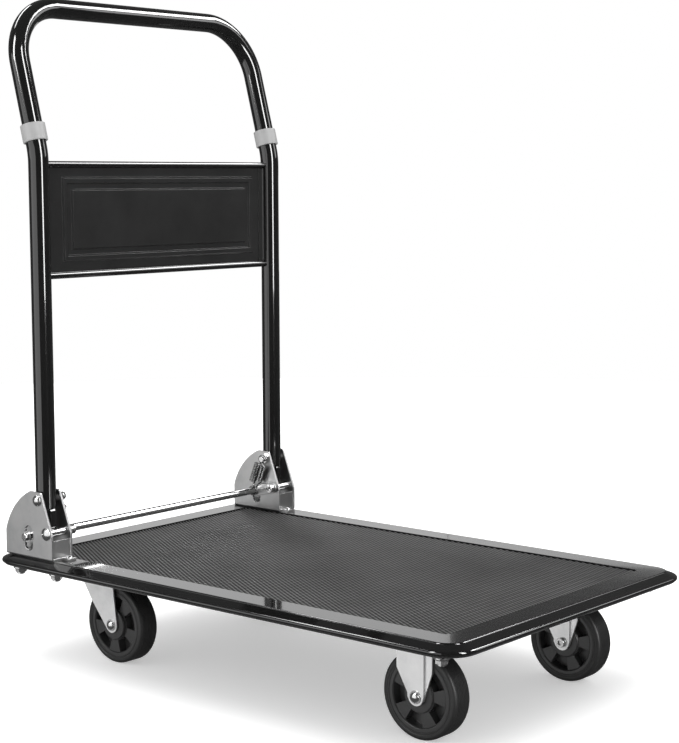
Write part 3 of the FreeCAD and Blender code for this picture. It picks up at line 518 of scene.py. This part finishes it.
def hook_points(centre, radius, along, across, inward):
    """Points round a hook that passes behind its pin and comes back to the coil's side of it."""
    points = []
    for k in range(HOOK_STEPS + 1):
        angle = math.radians(HOOK_DEG * k / HOOK_STEPS - HOOK_DEG)
        reach = along * (inward * radius * math.cos(angle))
        points.append(centre + reach + across * (radius * math.sin(angle)))
    return points


def coil_points(start, end, across, out):
    """Points of the close coils between two points."""
    points = []
    count = SPRING_TURNS * COIL_STEPS
    for k in range(count + 1):
        angle = 2 * math.pi * k / COIL_STEPS
        round_way = across * math.cos(angle) + out * math.sin(angle)
        points.append(start.lerp(end, k / count) + round_way * (SPRING_RADIUS * MM))
    return points


def build_springs(side):
    """Two extension springs on one side: a hook round the bar, coils, and a hook round the handle bolt."""
    node = "lock_springs_" + side
    low_box, high_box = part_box(node)
    bar_low, bar_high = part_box("foot_bar")
    bar = (bar_low + bar_high) / 2
    fold = Vector(joint("handle_fold")["pos_m"])
    y_mid = (low_box.y + high_box.y) / 2
    low = Vector((bar.x, y_mid, bar.z))
    top = Vector((fold.x, y_mid, fold.z))
    along = (top - low).normalized()
    across = Vector((along.z, 0.0, -along.x))
    out = Vector((0.0, 1.0, 0.0))
    for number, (shift, start_gap, hook_out) in enumerate(SPRINGS):
        aside = across * (shift * MM)
        start = low + along * (start_gap * MM) + aside
        end = top - along * (COIL_TOP_GAP * MM) + aside
        hook_way = out * (SIDES[side] * hook_out * MM)
        points = hook_points(low + hook_way, BAR_HOOK_RADIUS * MM, along, across, 1.0)
        points += coil_points(start, end, across, out)
        points += hook_points(top + hook_way, BOLT_HOOK_RADIUS * MM, along, across, -1.0)[::-1]
        obj = tube_along(node + "_coil_" + str(number), points, SPRING_WIRE * MM)
        obj.data.materials.append(FINISH["spring"])
        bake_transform(obj)
    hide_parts(node)


# ---- build the cart ------------------------------------------------------------------------------
def build_cart():
    build_mat()
    eased("deck_shell", 0.25, "gloss", 1)
    painted = ["upper_loop", "panel_rails", "deck_stiffeners", "cross_members"]
    painted += both("lower_tube", "side_rail")
    for node in painted:
        eased(node, 0.3, "gloss")
    eased("back_panel", 0.5, "panel", 3)
    for node in both("handle_foot"):
        eased(node, 0.4, "gloss")
    for node in both("bracket", "lock_lever"):
        eased(node, 0.4, "bracket")
    for node in both("rigid_fork", "swivel_fork", "swivel_plate"):
        eased(node, 0.4, "fork")
    for node in ["foot_bar", "pivot_spacers"]:
        eased(node, 0.3, "chrome")
    hardware = ["bracket_bolts", "tab_screws", "lever_bolts", "handle_bolts", "pivot_nuts", "rail_studs",
                "deck_nuts", "caster_bolts", "kingpins", "bar_clips", "front_axle_bolts", "front_axle_nuts",
                "front_axle_sleeves"] + both("rear_axle_bolt", "rear_axle_nut", "rear_axle_sleeve")
    for node in hardware:
        eased(node, 0.25, "hardware")
    for node in both("swivel_balls"):
        eased(node, 0.1, "chrome", 1)
    for node in both("collar"):
        eased(node, 0.8, "collar", 3)
    for node in both("tyre_front", "tyre_rear"):
        build_tyre(node)
    for node in both("hub_front", "hub_rear"):
        eased(node, 0.7, "hub")
    for side in SIDES:
        build_springs(side)


# ---- stage, light and camera ---------------------------------------------------------------------
FLOOR_RADIUS = 3.2
FLOOR_SIDES = 96
LIGHT_TARGET = Vector((0.0, 0.0, 0.40))
REFLECTED_WORLD = 0.1


def build_floor():
    """Round pale floor with a faint mottle."""
    angles = [2 * math.pi * k / FLOOR_SIDES for k in range(FLOOR_SIDES)]
    ring = [(FLOOR_RADIUS * math.cos(angle), FLOOR_RADIUS * math.sin(angle), 0.0) for angle in angles]
    mesh = bpy.data.meshes.new("floor")
    mesh.from_pydata(ring, [], [tuple(range(FLOOR_SIDES))])
    n = Nodes("floor_pale")
    n.set(Specular_IOR_Level=0.1, Emission_Color=grey(1.0), Emission_Strength=0.4)
    colour = n.ramp(n.noise(1.5, 4.0), [(0.3, grey(0.86)), (0.7, grey(0.90))])
    normal = n.bump(n.noise(60.0, 3.0), 0.05, 0.001)
    mesh.materials.append(n.finish(colour, n.span(n.noise(6.0, 4.0), 0.8, 0.95), normal))
    obj = add_object("floor", mesh)
    obj.visible_glossy = False


def card(name, azimuth, elevation, distance, size, radiance, diffuse=False, glossy=True):
    """Soft light facing the cart from a direction in degrees; size is width and height in metres."""
    a, e = math.radians(azimuth), math.radians(elevation)
    way = Vector((math.cos(a) * math.cos(e), math.sin(a) * math.cos(e), math.sin(e)))
    data = bpy.data.lights.new(name, "AREA")
    data.shape = "RECTANGLE"
    data.size = size[0]
    data.size_y = size[1]
    data.energy = radiance * math.pi * size[0] * size[1]
    obj = bpy.data.objects.new(name, data)
    obj.location = LIGHT_TARGET + way * distance
    obj.rotation_euler = (-way).to_track_quat("-Z", "Y").to_euler()
    obj.visible_camera = False
    obj.visible_diffuse = diffuse
    obj.visible_glossy = glossy
    bpy.context.scene.collection.objects.link(obj)


def build_world():
    """White studio surround, dim where only reflections see it."""
    world = bpy.data.worlds.new("studio")
    bpy.context.scene.world = world
    world.use_nodes = True
    tree = world.node_tree
    back = tree.nodes["Background"]
    path = tree.nodes.new("ShaderNodeLightPath")
    level = tree.nodes.new("ShaderNodeMapRange")
    level.inputs["To Min"].default_value = 1.0
    level.inputs["To Max"].default_value = REFLECTED_WORLD
    tree.links.new(path.outputs["Is Glossy Ray"], level.inputs["Value"])
    tree.links.new(level.outputs["Result"], back.inputs["Strength"])
    back.inputs["Color"].default_value = (1.0, 1.0, 1.0, 1.0)


def build_lights():
    card("overhead", 20, 88, 3.8, (4.5, 4.5), 2.0, diffuse=True, glossy=False)
    card("front_fill", -107, 0, 4.0, (5.2, 3.0), 1.4)
    card("strip_left", -108, 34, 3.2, (0.7, 1.9), 18.0)
    card("strip_right", -6, 22, 3.2, (0.75, 3.0), 18.0)
    card("top_left", 187, 50, 3.2, (1.9, 0.4), 10.0)
    card("top_back", 65, 41, 3.4, (1.9, 0.8), 18.0)
    card("bar_white", 55, 21, 3.2, (1.1, 0.9), 3.0)
    card("back_left", 137.7, 8.5, 2.36, (1.24, 0.7), 0.75)
    card("back_low", 114.35, 2.6, 2.216, (0.64, 0.24), 0.75)


CAMERA_PLACE = Vector((1.3807, -1.6272, 0.6114))
CAMERA_YAW = math.radians(40.116)
CAMERA_PITCH = math.radians(6.484)
CAMERA_ROLL = math.radians(-0.219)
CAMERA_LENS = 84.07
CAMERA_SENSOR = 36.0
CAMERA_SHIFT = (0.005, 0.0063)


def build_camera():
    """Camera at the photograph's viewing angle."""
    data = bpy.data.cameras.new("camera")
    data.sensor_width = CAMERA_SENSOR
    data.lens = CAMERA_LENS
    data.shift_x = CAMERA_SHIFT[0]
    data.shift_y = CAMERA_SHIFT[1]
    obj = bpy.data.objects.new("camera", data)
    flat = math.cos(CAMERA_PITCH)
    ahead = Vector((-math.sin(CAMERA_YAW) * flat, math.cos(CAMERA_YAW) * flat, -math.sin(CAMERA_PITCH)))
    right = ahead.cross(Vector((0, 0, 1))).normalized()
    up = right.cross(ahead)
    turned_right = right * math.cos(CAMERA_ROLL) + up * math.sin(CAMERA_ROLL)
    turned_up = up * math.cos(CAMERA_ROLL) - right * math.sin(CAMERA_ROLL)
    matrix = Matrix((turned_right, turned_up, -ahead)).transposed().to_4x4()
    matrix.translation = CAMERA_PLACE
    obj.matrix_world = matrix
    bpy.context.scene.collection.objects.link(obj)
    bpy.context.scene.camera = obj


build_cart()
build_floor()
build_world()
build_lights()
build_camera()
bpy.context.scene.view_settings.view_transform = "Standard"
